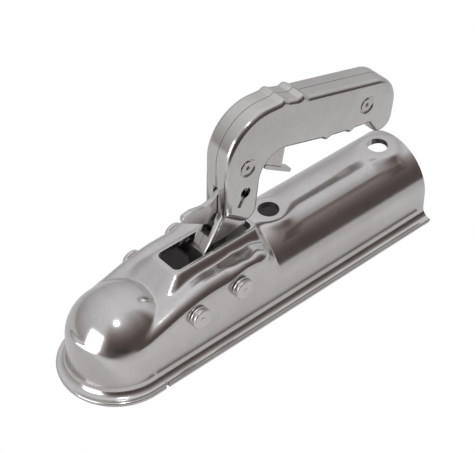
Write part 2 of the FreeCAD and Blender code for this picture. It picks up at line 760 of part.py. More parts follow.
def catch_spring():
    """Small torsion spring on the catch rivet, beside the catch."""
    mean_r = CATCH_SPACER_R + CATCH_WIRE_R + SIDE_GAP
    y_inner = -CATCH_HALF - CATCH_WIRE_R - SIDE_GAP
    y_outer = y_inner - CATCH_SPRING_TURNS * CATCH_SPRING_PITCH
    x, z = CATCH_RIVET_X, CATCH_RIVET_Z
    body = coil(x, z, mean_r, CATCH_WIRE_R, y_outer, CATCH_SPRING_PITCH, CATCH_SPRING_TURNS, 90)
    start = on_circle(x, y_outer, z, mean_r, -90)
    front = rod_between(start, start - v(CATCH_LEG, 0, 0), CATCH_WIRE_R)
    start = on_circle(x, y_inner, z, mean_r, 90)
    rear = rod_between(start, start - v(CATCH_LEG, 0, 0), CATCH_WIRE_R)
    return united([body, front, rear])


# Safety catch

def catch_lever():
    """Flat stamped lever: beak in front, pivot on the front rivet, finger tab under the grip."""
    plate = side_plate(CATCH_OUTLINE, -CATCH_HALF, CATCH_HALF)
    along = unit(TAB_FRONT, TAB_REAR)
    side = (-along[1] * TAB_THICKNESS / 2, along[0] * TAB_THICKNESS / 2)
    tab = [
        (TAB_FRONT[0] - side[0], TAB_FRONT[1] - side[1], TAB_FRONT_R),
        (TAB_REAR[0] - side[0], TAB_REAR[1] - side[1], TAB_REAR_R),
        (TAB_REAR[0] + side[0], TAB_REAR[1] + side[1], TAB_REAR_R),
        (TAB_FRONT[0] + side[0], TAB_FRONT[1] + side[1], TAB_FRONT_R),
    ]
    lever = united([plate, side_plate(tab, -TAB_HALF, TAB_HALF)])
    return lever.cut(cross_rod(CATCH_RIVET_X, CATCH_RIVET_Z, RIVET_R + PIN_HOLE_GAP, -GRIP_HALF, GRIP_HALF))


def catch_spacers():
    """Tubes on the catch rivet that keep the catch in the middle of the neck."""
    half = GRIP_HALF - SHEET
    bore = RIVET_R + PIN_HOLE_GAP
    tube = cross_tube(CATCH_RIVET_X, CATCH_RIVET_Z, bore, CATCH_SPACER_R, CATCH_HALF + SIDE_GAP, half)
    return Part.makeCompound([tube, mirrored(tube)])


# Ball jaw

def ball_jaw():
    """Cast jaw that hangs on its pin and reaches under the back of the ball."""
    block = side_plate(JAW_OUTLINE, -JAW_HALF, JAW_HALF)
    seat = Part.makeSphere(BALL_R + JAW_SEAT_GAP, v(0, 0, 0))
    bore = cross_rod(JAW_PIN_X, JAW_PIN_Z, PIN_R + PIN_HOLE_GAP, -2 * JAW_HALF, 2 * JAW_HALF)
    return block.cut([seat, bore])


def save(name, shape):
    shape.exportStep(os.path.join("parts", name + ".step"))
    return shape


def build():
    os.makedirs("parts", exist_ok=True)
    save("housing", housing())
    shell = left_shell()
    save("handle_shell_left", shell)
    save("handle_shell_right", mirrored(shell))
    save("jaw_pin", pin(JAW_PIN_X, JAW_PIN_Z))
    save("lever_pin", pin(LEVER_PIN_X, LEVER_PIN_Z))
    save("jaw_pin_washers", pin_washers(JAW_PIN_X, JAW_PIN_Z))
    save("lever_pin_washers", pin_washers(LEVER_PIN_X, LEVER_PIN_Z))
    save("jaw_spacers", spacers(JAW_PIN_X, JAW_PIN_Z, JAW_HALF))
    save("lever_spacers", spacers(LEVER_PIN_X, LEVER_PIN_Z, ARM_HALF))
    save("catch_rivet", rivet(CATCH_RIVET_X, CATCH_RIVET_Z))
    save("grip_rivet", rivet(GRIP_RIVET_X, GRIP_RIVET_Z))
    save("grip_spacer", grip_spacer())
    save("cam_block", cam_block())
    save("cam_rivets", cam_rivets())
    save("catch_lever", catch_lever())
    save("catch_spacers", catch_spacers())
    save("catch_spring", catch_spring())
    save("ball_jaw", ball_jaw())
    save("jaw_spring", jaw_spring())


build()
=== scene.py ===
import json
import math

import bmesh
import bpy
import numpy as np
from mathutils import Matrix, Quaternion, Vector

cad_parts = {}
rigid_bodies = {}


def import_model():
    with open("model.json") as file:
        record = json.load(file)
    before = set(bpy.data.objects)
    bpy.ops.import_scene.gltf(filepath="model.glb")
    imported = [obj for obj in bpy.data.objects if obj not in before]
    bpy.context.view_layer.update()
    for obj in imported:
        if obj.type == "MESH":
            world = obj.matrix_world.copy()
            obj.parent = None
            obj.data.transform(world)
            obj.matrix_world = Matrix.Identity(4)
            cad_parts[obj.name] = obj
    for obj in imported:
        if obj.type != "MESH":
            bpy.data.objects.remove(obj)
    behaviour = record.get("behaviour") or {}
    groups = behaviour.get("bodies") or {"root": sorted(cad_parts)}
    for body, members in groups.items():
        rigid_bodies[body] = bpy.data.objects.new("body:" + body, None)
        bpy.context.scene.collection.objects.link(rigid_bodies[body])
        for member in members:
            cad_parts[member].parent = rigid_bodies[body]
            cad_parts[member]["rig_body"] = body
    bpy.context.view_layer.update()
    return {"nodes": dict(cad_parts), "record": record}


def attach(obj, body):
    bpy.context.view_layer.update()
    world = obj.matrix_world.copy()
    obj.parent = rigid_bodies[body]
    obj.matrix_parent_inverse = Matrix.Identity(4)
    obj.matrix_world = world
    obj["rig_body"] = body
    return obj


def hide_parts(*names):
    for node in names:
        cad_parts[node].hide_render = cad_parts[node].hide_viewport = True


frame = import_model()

# Trailer coupling head of zinc-plated pressed steel. Lengths in the shape functions are in
# millimetres from the centre of the ball; they become metres when a mesh is made.
# +X runs rearwards along the drawbar, -Y is the left side and +Z is up.

MM = 0.001

# Sizes shared with the part's source
WALL = 3.0
SHELL_R = 28.75
SADDLE_Z = -3.2
REAR_X = 219.3
BODY_REAR_X = 98.8
BODY_HALF = 27.5
BODY_TOP_Z = 26.7
FLANGE_TOP_Z = -19.4
FLANGE_BOTTOM_Z = -22.4
FLANGE_REACH = 6.55
HOLE_R = 6.5
HOLE_X = (113.9, 203.9)
PAD_R = 12.1
PAD_LEAN = 0.62
CROWN_Z = 26.05
DOME_STRETCH = 4.0
JAW_PIN = (36.4, 11.6)
LEVER_PIN = (67.7, 14.3)
PIN_SEAT_Y = 28.2
PIN_SEAT_R = 8.4

# Body: at each station the height of its flat top and the radius of its shoulders
BODY_X = (-9, 0, 12, 18, 25, 32, 39, 46, 62, 68, 73, 78, 84, 90, 98.8)
BODY_TOPS = (13.2, 15.7, 18.9, 20.7, 22.7, 24.3, 25.5, 26.2, 26.2, 26.4, 26.9, 26.4, 26.5, 26.4,
             26.4)
BODY_CORNERS = (8, 8, 8, 8, 8, 8, 8, 8, 8, 5.0, 4.5, 4.2, 7.0, 6.0, 6.0)
STATION_EASE = 3.0
NOSE_TUCK = 0.9
NOSE_TUCK_X = 4.0
NOSE_TUCK_LENGTH = 10.0
FALL_FRONT_X = 84.0
BODY_END_ROUND = 0.8

# Saddle, pads round the bolt holes and the band between them
SADDLE_FRONT_X = 93.0
PAD_DEPTH = 5.2
BAND_HALF = 5.0
BAND_DEPTH = 3.0
BAND_SIDE_Y = 0.55
BAND_SIDE_Z = 0.835
PAD_TO_BAND = 3.5
PAD_RIM_ROUND = 2.4

# Collar: sizes at the foot, and how far each leans by the time it reaches the rim
COLLAR_FOOT_Z = 22.0
COLLAR_RISE = 9.0
COLLAR_TOP_Z = 31.0
COLLAR_UNDER_Z = 20.0
COLLAR_FRONT_X, COLLAR_FRONT_LEAN = 20.4, 14.1
COLLAR_REAR_X, COLLAR_REAR_LEAN = 99.7, 3.2
COLLAR_HALF, COLLAR_SIDE_LEAN = 17.8, 6.8
COLLAR_CORNER_R, COLLAR_CORNER_LOSS = 9.0, 4.5
COLLAR_SIDE_SLOPE = 0.8
COLLAR_RIM_ROUND = 1.2

# Widths over which the housing's forms run together
DOME_BLEND = 0.9
COLLAR_BLEND = 1.2
PAD_BLEND = 3.6
REAR_BLEND = 0.6

# The search along a ray: its two ends, and how often their gap is halved
RAY_NEAR, RAY_FAR, RAY_HALVINGS = 3.0, 60.0, 34

# Foot, flange and cuts
FOOT_R = 5.0
FOOT_RISE = 6.3
FLANGE_EDGE_R = 1.0
SEAT_RIM = 1.6
SLOT_FRONT_X, SLOT_REAR_X, SLOT_HALF, SLOT_CORNER_R = 37.0, 94.0, 9.0, 3.5
NOTCH_X = (6.5, 8.0, 9.5)
NOTCH_DEPTHS = (3.0, 2.4)

# Edge rounding of the loose pieces, and a washer's section as (radius, |y|)
EDGES = {"catch_lever": 0.45, "jaw_pin": 0.4, "lever_pin": 0.4, "catch_rivet": 0.35,
         "grip_rivet": 0.35}
WASHER_PROFILE = [(4.05, 28.2), (6.1, 28.2), (6.4, 28.45), (6.45, 29.0), (6.4, 29.6),
                  (6.1, 29.85), (4.05, 30.0)]


# Camera

def aim_camera(azimuth, elevation, distance, target, roll, focal_px, width_px):
    """Camera on a sphere round the target, looking at its centre."""
    a = math.radians(azimuth)
    e = math.radians(elevation)
    back = Vector((math.sin(a) * math.cos(e), -math.cos(a) * math.cos(e), math.sin(e)))
    data = bpy.data.cameras.new("camera")
    data.sensor_width = 36.0
    data.lens = focal_px / width_px * data.sensor_width
    data.clip_start = 0.01
    data.clip_end = 20.0
    camera = bpy.data.objects.new("camera", data)
    bpy.context.scene.collection.objects.link(camera)
    camera.location = Vector(target) * MM + back * distance * MM
    camera.rotation_mode = "QUATERNION"
    turn = (-back).to_track_quat("-Z", "Y")
    camera.rotation_quaternion = turn @ Quaternion((0, 0, 1), math.radians(roll))
    bpy.context.scene.camera = camera


aim_camera(azimuth=-41.19, elevation=42.178, distance=864.345, target=(90.0, 0.052, 27.039),
           roll=0.071, focal_px=1500.0, width_px=475.0)


# Shader maths

class Value:
    """A socket that takes part in Python arithmetic; each operation adds one Math node."""

    def __init__(self, tree, socket):
        self.tree = tree
        self.socket = socket

    def math(self, operation, *others):
        node = self.tree.nodes.new("ShaderNodeMath")
        node.operation = operation
        for slot, item in zip(node.inputs, (self,) + others):
            if isinstance(item, Value):
                self.tree.links.new(item.socket, slot)
            else:
                slot.default_value = item
        return Value(self.tree, node.outputs[0])

    def __add__(self, other):
        return self.math("ADD", other)

    def __sub__(self, other):
        return self.math("SUBTRACT", other)

    def __rsub__(self, other):
        return self.math("MULTIPLY", -1.0).math("ADD", other)

    def __mul__(self, other):
        return self.math("MULTIPLY", other)

    def __truediv__(self, other):
        return self.math("DIVIDE", other)

    def __pow__(self, other):
        return self.math("POWER", other)

    def clamp(self):
        return self.math("MAXIMUM", 0.0).math("MINIMUM", 1.0)

    def step(self, low, high):
        """0 below low, 1 above high and smooth between."""
        return add_node(self.tree, "ShaderNodeMapRange", {"interpolation_type": "SMOOTHSTEP"},
                        {"Value": self, "From Min": low, "From Max": high})


def add_node(tree, kind, settings, inputs):
    """Adds one node: settings first, then values or links for its sockets."""
    node = tree.nodes.new(kind)
    for key, item in settings.items():
        setattr(node, key, item)
    for key, item in inputs.items():
        socket = node.inputs[key]
        if isinstance(item, Value):
            tree.links.new(item.socket, socket)
        else:
            socket.default_value = item
    return Value(tree, node.outputs[0])


def source(tree, kind, output):
    """One named output of a node that takes no input."""
    return Value(tree, tree.nodes.new(kind).outputs[output])


def parts_of(tree, vector):
    """The x, y and z of a vector."""
    x = add_node(tree, "ShaderNodeSeparateXYZ", {}, {0: vector})
    outputs = x.socket.node.outputs
    return x, Value(tree, outputs["Y"]), Value(tree, outputs["Z"])


def new_material(name):
    material = bpy.data.materials.new(name)
    material.use_nodes = True
    tree = material.node_tree
    tree.nodes.clear()
    return material, tree


def close_tree(tree, kind, shader):
    """Ends a tree with its output node."""
    output = tree.nodes.new(kind)
    tree.links.new(shader.socket, output.inputs["Surface"])


def noise(tree, place, scale, detail, roughness):
    return add_node(tree, "ShaderNodeTexNoise", {},
                    {"Vector": place, "Scale": scale, "Detail": detail, "Roughness": roughness})


def emission(tree, colour):
    return add_node(tree, "ShaderNodeEmission", {}, {"Color": colour, "Strength": 1.0})


def mix_colour(tree, factor, a, b):
    """Mixes two colours; a colour is a Value or three numbers."""
    node = tree.nodes.new("ShaderNodeMix")
    node.data_type = "RGBA"
    tree.links.new(factor.socket, node.inputs[0])
    for slot, item in ((node.inputs[6], a), (node.inputs[7], b)):
        if isinstance(item, Value):
            tree.links.new(item.socket, slot)
        else:
            slot.default_value = item + (1.0,)
    return Value(tree, node.outputs[2])


def zinc(name, light, dark, roughness, spread, bump):
    """Satin zinc plating: cloudy tone, uneven gloss and a faint pressed grain."""
    material, tree = new_material(name)
    place = source(tree, "ShaderNodeTexCoord", "Object")
    cloud = noise(tree, place, 45.0, 4.0, 0.6)
    fine = noise(tree, place, 420.0, 3.0, 0.6)
    speck = noise(tree, place, 1500.0, 2.0, 0.5)
    tone = (cloud * 0.7 + fine * 0.3).step(0.35, 0.7)
    colour = mix_colour(tree, tone, dark, light)
    gloss = (cloud * 0.6 + fine * 0.4 - 0.5) * spread + roughness
    height = fine * 0.7 + speck * 0.3
    grain = add_node(tree, "ShaderNodeBump", {},
                     {"Height": height, "Distance": 0.0001, "Strength": bump})
    shader = add_node(tree, "ShaderNodeBsdfPrincipled", {},
                      {"Base Color": colour, "Metallic": 1.0, "Roughness": gloss.clamp(),
                       "Normal": grain})
    close_tree(tree, "ShaderNodeOutputMaterial", shader)
    return material


# For each slot: the material's name, light and dark tone, roughness, its spread, grain
MATERIALS = {slot: zinc(*values) for slot, values in {
    "pressed_housing": ("housing_zinc", (0.66, 0.65, 0.645), (0.60, 0.585, 0.58), 0.17, 0.10, 0.08),
    "pressed_handle": ("handle_zinc", (0.66, 0.655, 0.645), (0.60, 0.59, 0.58), 0.18, 0.10, 0.08),
    "pin_steel": ("pin_zinc", (0.72, 0.70, 0.69), (0.64, 0.61, 0.60), 0.30, 0.14, 0.15),
    "turned_steel": ("turned_zinc", (0.66, 0.65, 0.64), (0.58, 0.57, 0.56), 0.28, 0.12, 0.12),
    "catch_plate": ("catch_zinc", (0.66, 0.655, 0.65), (0.58, 0.57, 0.56), 0.26, 0.12, 0.12),
    "spring_wire": ("spring_wire", (0.42, 0.41, 0.40), (0.34, 0.33, 0.32), 0.34, 0.10, 0.10),
    "cast_steel": ("cast_zinc", (0.46, 0.45, 0.44), (0.34, 0.33, 0.32), 0.42, 0.14, 0.35),
}.items()}
SLOTS = {part["node"]: part["material_slot"] for part in frame["record"]["subparts"]}


# Meshes

def link_new(name, data):
    """New object with this data, in the scene."""
    made = bpy.data.objects.new(name, data)
    bpy.context.scene.collection.objects.link(made)
    return made


def piece_from(name, mesh, body, slot, *nodes):
    """Puts a mesh in the scene as a piece that rides on a body and stands for CAD nodes."""
    piece = link_new(name, mesh)
    mesh.materials.clear()
    mesh.materials.append(MATERIALS[slot])
    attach(piece, body)
    if nodes:
        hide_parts(*nodes)


def smooth_by_angle(mesh, degrees):
    mesh.polygons.foreach_set("use_smooth", np.ones(len(mesh.polygons), dtype=bool))
    mesh.set_sharp_from_angle(angle=math.radians(degrees))
    mesh.update()


def grid_faces(rows, columns):
    """Quads of a grid whose vertices are numbered row by row."""
    i, j = np.meshgrid(np.arange(rows - 1), np.arange(columns - 1), indexing="ij")
    corner = (i * columns + j).ravel()
    return np.stack([corner, corner + 1, corner + columns + 1, corner + columns], axis=1)


def mesh_of(name, points, faces, merge=2e-7):
    """Mesh from millimetre points; points that coincide are joined."""
    mesh = bpy.data.meshes.new(name)
    mesh.from_pydata((points * MM).tolist(), [], faces)
    form = bmesh.new()
    form.from_mesh(mesh)
    bmesh.ops.remove_doubles(form, verts=form.verts, dist=merge)
    bmesh.ops.dissolve_degenerate(form, edges=form.edges, dist=1e-8)
    bmesh.ops.recalc_face_normals(form, faces=form.faces)
    form.to_mesh(mesh)
    form.free()
    return mesh


# Housing form

def soft_union(a, b, width):
    """The smaller of two distances, filled with a fillet of about the given width.

    With s = clip(1/2 + (b - a) / (2 width)) this is b + (a - b) s - width s (1 - s).
    """
    share = np.clip(0.5 + 0.5 * (b - a) / width, 0, 1)
    return b + (a - b) * share - width * share * (1 - share)


def soft_cut(a, b, width):
    """The larger of two distances, with the edge between them rounded over the width."""
    return -soft_union(-a, -b, width)


def smooth_share(share):
    """Share from 0 to 1 that starts and ends level: 3 s^2 - 2 s^3."""
    share = np.clip(share, 0, 1)
    return share * share * (3 - 2 * share)


def eased(x, places, values, width):
    """Values joined by straight runs whose corners are eased over a width along x.

    It is the mean of the straight runs at 9 shifts, weighted by 1 + cos(pi shift / width).
    """
    reach = np.linspace(-1, 1, 9)
    weight = (1 + np.cos(np.pi * reach)) / np.sum(1 + np.cos(np.pi * reach))
    total = np.zeros_like(x)
    for shift, share in zip(reach, weight):
        total += share * np.interp(x + shift * width, places, values)
    return total


def corner_distance(a, b):
    """Distance to the quarter plane a < 0, b < 0, round outside its corner."""
    outside = np.hypot(np.maximum(a, 0), np.maximum(b, 0))
    return outside + np.minimum(np.maximum(a, b), 0)


def round_distance(y, z):
    """Distance to the saddle's round, with upright walls below its axis."""
    return np.hypot(y, np.maximum(z - SADDLE_Z, 0)) - SHELL_R


def dome_distance(x, y, z):
    """Half ball over a round wall, stretched a little to the rear."""
    along = x - np.clip(x, 0, DOME_STRETCH)
    return np.sqrt(along * along + y * y + np.maximum(z, 0) ** 2) - SHELL_R


def body_distance(x, y, z):
    """Rounded box behind the dome: walls lean in, the top falls forwards into the dome.

    Behind FALL_FRONT_X the box falls to the saddle's round, where it ends in a crease.
    """
    top = eased(x, BODY_X, BODY_TOPS, STATION_EASE)
    corner = eased(x, BODY_X, BODY_CORNERS, STATION_EASE)
    rise = BODY_TOP_Z - SADDLE_Z
    lean = (SHELL_R - BODY_HALF) * np.clip((z - SADDLE_Z) / rise, 0, 1.2)
    plan = np.where(x < 0, np.sqrt(np.maximum(SHELL_R ** 2 - x * x, 1)), SHELL_R)
    plan = plan - NOSE_TUCK * np.clip((NOSE_TUCK_X - x) / NOSE_TUCK_LENGTH, 0, 1)
    section = corner_distance(np.abs(y) - (plan - lean - corner), z - (top - corner)) - corner
    share = np.clip((x - FALL_FRONT_X) / (BODY_REAR_X - FALL_FRONT_X), 0, 1) ** 2
    section = section + (round_distance(y, z) - section) * share
    return soft_cut(section, x - BODY_REAR_X, BODY_END_ROUND)


def saddle_distance(x, y, z):
    """Half-round trough over the drawbar tube."""
    return np.maximum(round_distance(y, z), SADDLE_FRONT_X - x)


def pad_distance(x, y, z):
    """Flat discs with leaning walls round the bolt holes, and a flat band between them."""
    radius = PAD_R + PAD_LEAN * (CROWN_Z - z)
    discs = np.minimum(np.hypot(x - HOLE_X[0], y), np.hypot(x - HOLE_X[1], y)) - radius
    discs = np.maximum(discs / math.hypot(1, PAD_LEAN), CROWN_Z - PAD_DEPTH - z)
    band = (np.abs(y) - BAND_HALF) * BAND_SIDE_Y + (z - CROWN_Z) * BAND_SIDE_Z
    band = np.maximum(band, CROWN_Z - BAND_DEPTH - z)
    middle = (HOLE_X[0] + HOLE_X[1]) / 2
    band = np.maximum(band, np.abs(x - middle) - (HOLE_X[1] - HOLE_X[0]) / 2)
    return soft_cut(soft_union(discs, band, PAD_TO_BAND), z - CROWN_Z, PAD_RIM_ROUND)


def collar_distance(x, y, z):
    """Rim round the slot, whose sides lean in from a wide foot to a narrow top."""
    share = np.clip((z - COLLAR_FOOT_Z) / COLLAR_RISE, -0.2, 1.2)
    front = COLLAR_FRONT_X + COLLAR_FRONT_LEAN * share
    rear = COLLAR_REAR_X - COLLAR_REAR_LEAN * share
    half = COLLAR_HALF - COLLAR_SIDE_LEAN * share
    radius = np.clip(COLLAR_CORNER_R - COLLAR_CORNER_LOSS * share, 2, COLLAR_CORNER_R)
    along = np.abs(x - (front + rear) / 2) - ((rear - front) / 2 - radius)
    plan = corner_distance(along, np.abs(y) - (half - radius)) - radius
    form = np.maximum(plan * COLLAR_SIDE_SLOPE, COLLAR_UNDER_Z - z)
    return soft_cut(form, z - COLLAR_TOP_Z, COLLAR_RIM_ROUND)


def housing_distance(x, y, z):
    """Signed distance to the housing's outside, all its forms run together."""
    form = soft_union(dome_distance(x, y, z), body_distance(x, y, z), DOME_BLEND)
    form = soft_union(form, collar_distance(x, y, z), COLLAR_BLEND)
    rear = soft_union(saddle_distance(x, y, z), pad_distance(x, y, z), PAD_BLEND)
    return soft_union(form, rear, REAR_BLEND)


def along_rays(origins, directions, depth):
    """Distance along each ray at which the housing's outside is depth millimetres away."""
    near = np.full(origins.shape[:-1], RAY_NEAR)
    far = np.full(origins.shape[:-1], RAY_FAR)
    for _ in range(RAY_HALVINGS):
        middle = (near + far) / 2
        point = origins + directions * middle[..., None]
        inside = housing_distance(point[..., 0], point[..., 1], point[..., 2]) < -depth
        near = np.where(inside, middle, near)
        far = np.where(inside, far, middle)
    return (near + far) / 2


def housing_columns():
    """Places along the wall's plan: left side forwards, round the nose, right side back.

    Each has an axis point (x, 0) and an outward direction in plan. They lie closer together
    at the collar's front and at the body's rear end.
    """
    stations = np.unique(np.concatenate([
        np.arange(0.0, 96.0, 1.15), np.arange(20.0, 36.0, 0.6), np.arange(96.0, 102.0, 0.3),
        np.arange(102.0, REAR_X, 1.0), [REAR_X]]))
    stations = stations[stations > 0.3]
    stations = stations[np.concatenate([[True], np.diff(stations) > 0.15])]
    stations[-1] = REAR_X
    turns = np.radians(np.linspace(-90, 90, 73))
    straight = np.zeros(len(stations))
    axis = np.concatenate([stations[::-1], np.zeros(len(turns)), stations])
    out_x = np.concatenate([straight, -np.cos(turns), straight])
    out_y = np.concatenate([straight - 1, np.sin(turns), straight + 1])
    return axis, out_x, out_y


def seat_pins(points):
    """Presses the flat spots under the pins' washers into the side walls."""
    x, y, z = points[..., 0], points[..., 1], points[..., 2]
    for pin_x, pin_z in (JAW_PIN, LEVER_PIN):
        away = np.hypot(x - pin_x, z - pin_z)
        share = smooth_share((PIN_SEAT_R + SEAT_RIM - away) / SEAT_RIM)
        pressed = np.sign(y) * np.minimum(np.abs(y), PIN_SEAT_Y)
        y = y + (pressed - y) * share
    return np.stack([x, y, z], axis=-1)


def foot_profile():
    """Points of the oval bend, the flange and its underside: (offset from the wall, z)."""
    bend_z = FLANGE_TOP_Z + FOOT_RISE
    profile = [(FOOT_R * (1 - math.cos(a)), bend_z - FOOT_RISE * math.sin(a))
               for a in np.radians(np.linspace(0, 90, 13)[1:])]
    edge = FLANGE_REACH - FLANGE_EDGE_R
    profile += [(edge + FLANGE_EDGE_R * math.cos(a),
                 FLANGE_TOP_Z - FLANGE_EDGE_R + FLANGE_EDGE_R * math.sin(a))
                for a in np.radians(np.linspace(90, 0, 6))]
    profile += [(FLANGE_REACH - 0.25, -21.7), (FLANGE_REACH - 0.5, -22.15)]
    profile += [(offset, FLANGE_BOTTOM_Z) for offset in (FLANGE_REACH - 0.9, 1.0, -WALL)]
    return bend_z, profile


def housing_mesh():
    """Outside and inside of the pressing as one closed skin.

    Rows run from the crown down the wall, round the flange and up the inside; columns follow
    the wall's plan. Rays from the middle axis meet the joined forms in the upper rows.
    """
    axis, out_x, out_y = housing_columns()
    count = len(axis)
    centre_z = SADDLE_Z * smooth_share((axis - 20) / 60)
    out = np.stack([out_x, out_y, np.zeros(count)], axis=-1)
    origins = np.stack([axis, np.zeros(count), centre_z], axis=-1)
    up = np.array([0.0, 0.0, 1.0])

    def upper(angles, depth):
        """Rows where rays at these angles from upright come within depth of the outside."""
        lean = np.radians(angles)[:, None, None]
        direction = out[None] * np.sin(lean) + up * np.cos(lean)
        start = np.broadcast_to(origins[None], direction.shape)
        return start + direction * along_rays(start, direction, depth)[..., None]

    def wall(offsets, heights):
        """Rows at these offsets from the wall's outside and at these heights."""
        rows = []
        for offset, height in zip(offsets, heights):
            row = np.stack([axis, np.zeros(count), np.broadcast_to(height, (count,))], axis=-1)
            rows.append(row + out * (SHELL_R + offset))
        return np.stack(rows)

    bend_z, profile = foot_profile()
    points = np.concatenate([
        seat_pins(upper(np.linspace(0, 90, 76), 0.0)),
        wall(np.zeros(7), [centre_z + (bend_z - centre_z) * s for s in np.linspace(0, 1, 8)[1:]]),
        wall([p[0] for p in profile], [p[1] for p in profile]),
        wall(np.full(3, -WALL), [FLANGE_BOTTOM_Z + (centre_z - FLANGE_BOTTOM_Z) * s
                                 for s in (0.25, 0.55, 0.85)]),
        upper(np.linspace(90, 0, 26), WALL)])
    rows = len(points)
    faces = grid_faces(rows, count).tolist()
    for column in (0, count - 1):
        faces.append([row * count + column for row in range(rows)])
    return mesh_of("housing_skin", points.reshape(-1, 3), faces)


def prism(name, corners, low, high):
    """Closed upright block over a plan outline."""
    plan = np.array(corners, dtype=float)
    count = len(plan)
    bottom = np.column_stack([plan, np.full(count, low)])
    top = np.column_stack([plan, np.full(count, high)])
    faces = [list(range(count))[::-1], list(range(count, 2 * count))]
    for i in range(count):
        j = (i + 1) % count
        faces.append([i, j, j + count, i + count])
    return link_new(name, mesh_of(name, np.concatenate([bottom, top]), faces))


def round_plan(x, y, radius, count=72):
    turn = np.linspace(0, 2 * np.pi, count, endpoint=False)
    return np.column_stack([x + radius * np.cos(turn), y + radius * np.sin(turn)])


def rounded_plan(x_low, x_high, half, radius, steps=8):
    """Rectangle outline with rounded corners."""
    points = []
    low, high, across = x_low + radius, x_high - radius, half - radius
    for cx, cy, start in ((high, across, 0), (low, across, 90), (low, -across, 180),
                          (high, -across, 270)):
        for turn in np.radians(np.linspace(start, start + 90, steps)):
            points.append((cx + radius * math.cos(turn), cy + radius * math.sin(turn)))
    return points


def cut_away(mesh, cutters):
    """Takes closed blocks out of a closed mesh."""
    target = link_new("cut_target", mesh)
    for cutter in cutters:
        modifier = target.modifiers.new("cut", "BOOLEAN")
        modifier.operation = "DIFFERENCE"
        modifier.solver = "EXACT"
        modifier.object = cutter
    graph = bpy.context.evaluated_depsgraph_get()
    result = bpy.data.meshes.new_from_object(target.evaluated_get(graph))
    for used in [target] + cutters:
        bpy.data.objects.remove(used)
    return result


def make_housing():
    """The housing's skin with its slot, its bolt holes and the notches in its flange."""
    slot = rounded_plan(SLOT_FRONT_X, SLOT_REAR_X, SLOT_HALF, SLOT_CORNER_R)
    cutters = [prism("slot_cut", slot, 15, 40)]
    for x in HOLE_X:
        cutters.append(prism("hole_cut", round_plan(x, 0, HOLE_R), 10, 40))
    edge = SHELL_R + FLANGE_REACH
    for side in (-1, 1):
        corners = [(NOTCH_X[0], side * (edge + 1)), (NOTCH_X[1], side * (edge - NOTCH_DEPTHS[0])),
                   (NOTCH_X[2], side * (edge - NOTCH_DEPTHS[1])), (NOTCH_X[2], side * (edge + 1))]
        cutters.append(prism("notch_cut", corners[::side], -25, -18))
    mesh = cut_away(housing_mesh(), cutters)
    smooth_by_angle(mesh, 38)
    piece_from("housing_skin", mesh, "housing_body", "pressed_housing", "housing")


# Other pieces

def hold_flat_sides(mesh, degrees):
    """Gives every corner that touches a flat side the side's own normal."""
    count = len(mesh.loops)
    corners = np.empty(count * 3)
    mesh.corner_normals.foreach_get("vector", corners)
    corners = corners.reshape(-1, 3)
    vertices = np.empty(count, dtype=int)
    mesh.loops.foreach_get("vertex_index", vertices)
    sizes = np.empty(len(mesh.polygons), dtype=int)
    mesh.polygons.foreach_get("loop_total", sizes)
    across = np.empty(len(mesh.polygons) * 3)
    mesh.polygons.foreach_get("normal", across)
    across = np.repeat(across.reshape(-1, 3)[:, 1], sizes)
    side = np.zeros(len(mesh.vertices))
    flat = np.abs(across) > 0.99995
    side[vertices[flat]] = np.sign(across[flat])
    held = side[vertices]
    near = (held != 0) & (across * held > math.cos(math.radians(degrees)))
    corners[near] = np.column_stack([np.zeros(near.sum()), held[near], np.zeros(near.sum())])
    mesh.normals_split_custom_set(corners.tolist())


def smoothed_copy(node, edge=0.0, degrees=32):
    """The node's own mesh with its points joined and its sharp edges rounded a little."""
    mesh = frame["nodes"][node].data.copy()
    form = bmesh.new()
    form.from_mesh(mesh)
    bmesh.ops.remove_doubles(form, verts=form.verts, dist=2e-6)
    if edge:
        bmesh.ops.dissolve_limit(form, angle_limit=math.radians(0.05), verts=form.verts,
                                 edges=form.edges)
        sharp = [e for e in form.edges
                 if e.is_manifold and e.calc_face_angle(0.0) > math.radians(degrees)]
        bmesh.ops.bevel(form, geom=sharp, offset=edge * MM, offset_type="OFFSET", segments=2,
                        profile=0.5, affect="EDGES", clamp_overlap=True)
        bmesh.ops.triangulate(form, faces=[f for f in form.faces if len(f.verts) > 4])
        bmesh.ops.remove_doubles(form, verts=form.verts, dist=2e-6)
        degrees += 12
    form.to_mesh(mesh)
    form.free()
    smooth_by_angle(mesh, degrees)
    hold_flat_sides(mesh, degrees)
    piece_from(node + "_finish", mesh, frame["nodes"][node]["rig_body"], SLOTS[node], node)


def turned_rings(node, x, z, profile, turns=64):
    """The same closed profile of (radius, |y|) turned about a cross pin on both sides."""
    points, faces = [], []
    count = len(profile)
    for side in (-1, 1):
        start = len(points)
        for a in np.linspace(0, 2 * np.pi, turns, endpoint=False):
            points += [(x + r * math.cos(a), side * y, z + r * math.sin(a)) for r, y in profile]
        for i in range(turns):
            here, there = start + i * count, start + (i + 1) % turns * count
            for j in range(count):
                k = (j + 1) % count
                faces.append([here + j, there + j, there + k, here + k])
    mesh = mesh_of(node + "_rings", np.array(points), faces)
    smooth_by_angle(mesh, 50)
    piece_from(node + "_rings", mesh, frame["nodes"][node]["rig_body"], SLOTS[node], node)


make_housing()
smoothed_copy("handle_shell_left")
smoothed_copy("handle_shell_right")
for node_name, edge_size in EDGES.items():
    smoothed_copy(node_name, edge_size)
turned_rings("jaw_pin_washers", *JAW_PIN, WASHER_PROFILE)
turned_rings("lever_pin_washers", *LEVER_PIN, WASHER_PROFILE)

for node_name, node in frame["nodes"].items():
    for index in range(len(node.material_slots)):
        node.material_slots[index].material = MATERIALS[SLOTS[node_name]]


# Stage and light. FLOOR_HALF is in millimetres, as the shape functions are. The other places
# and distances are in metres, and DARK_AHEAD is a share of the level distance.

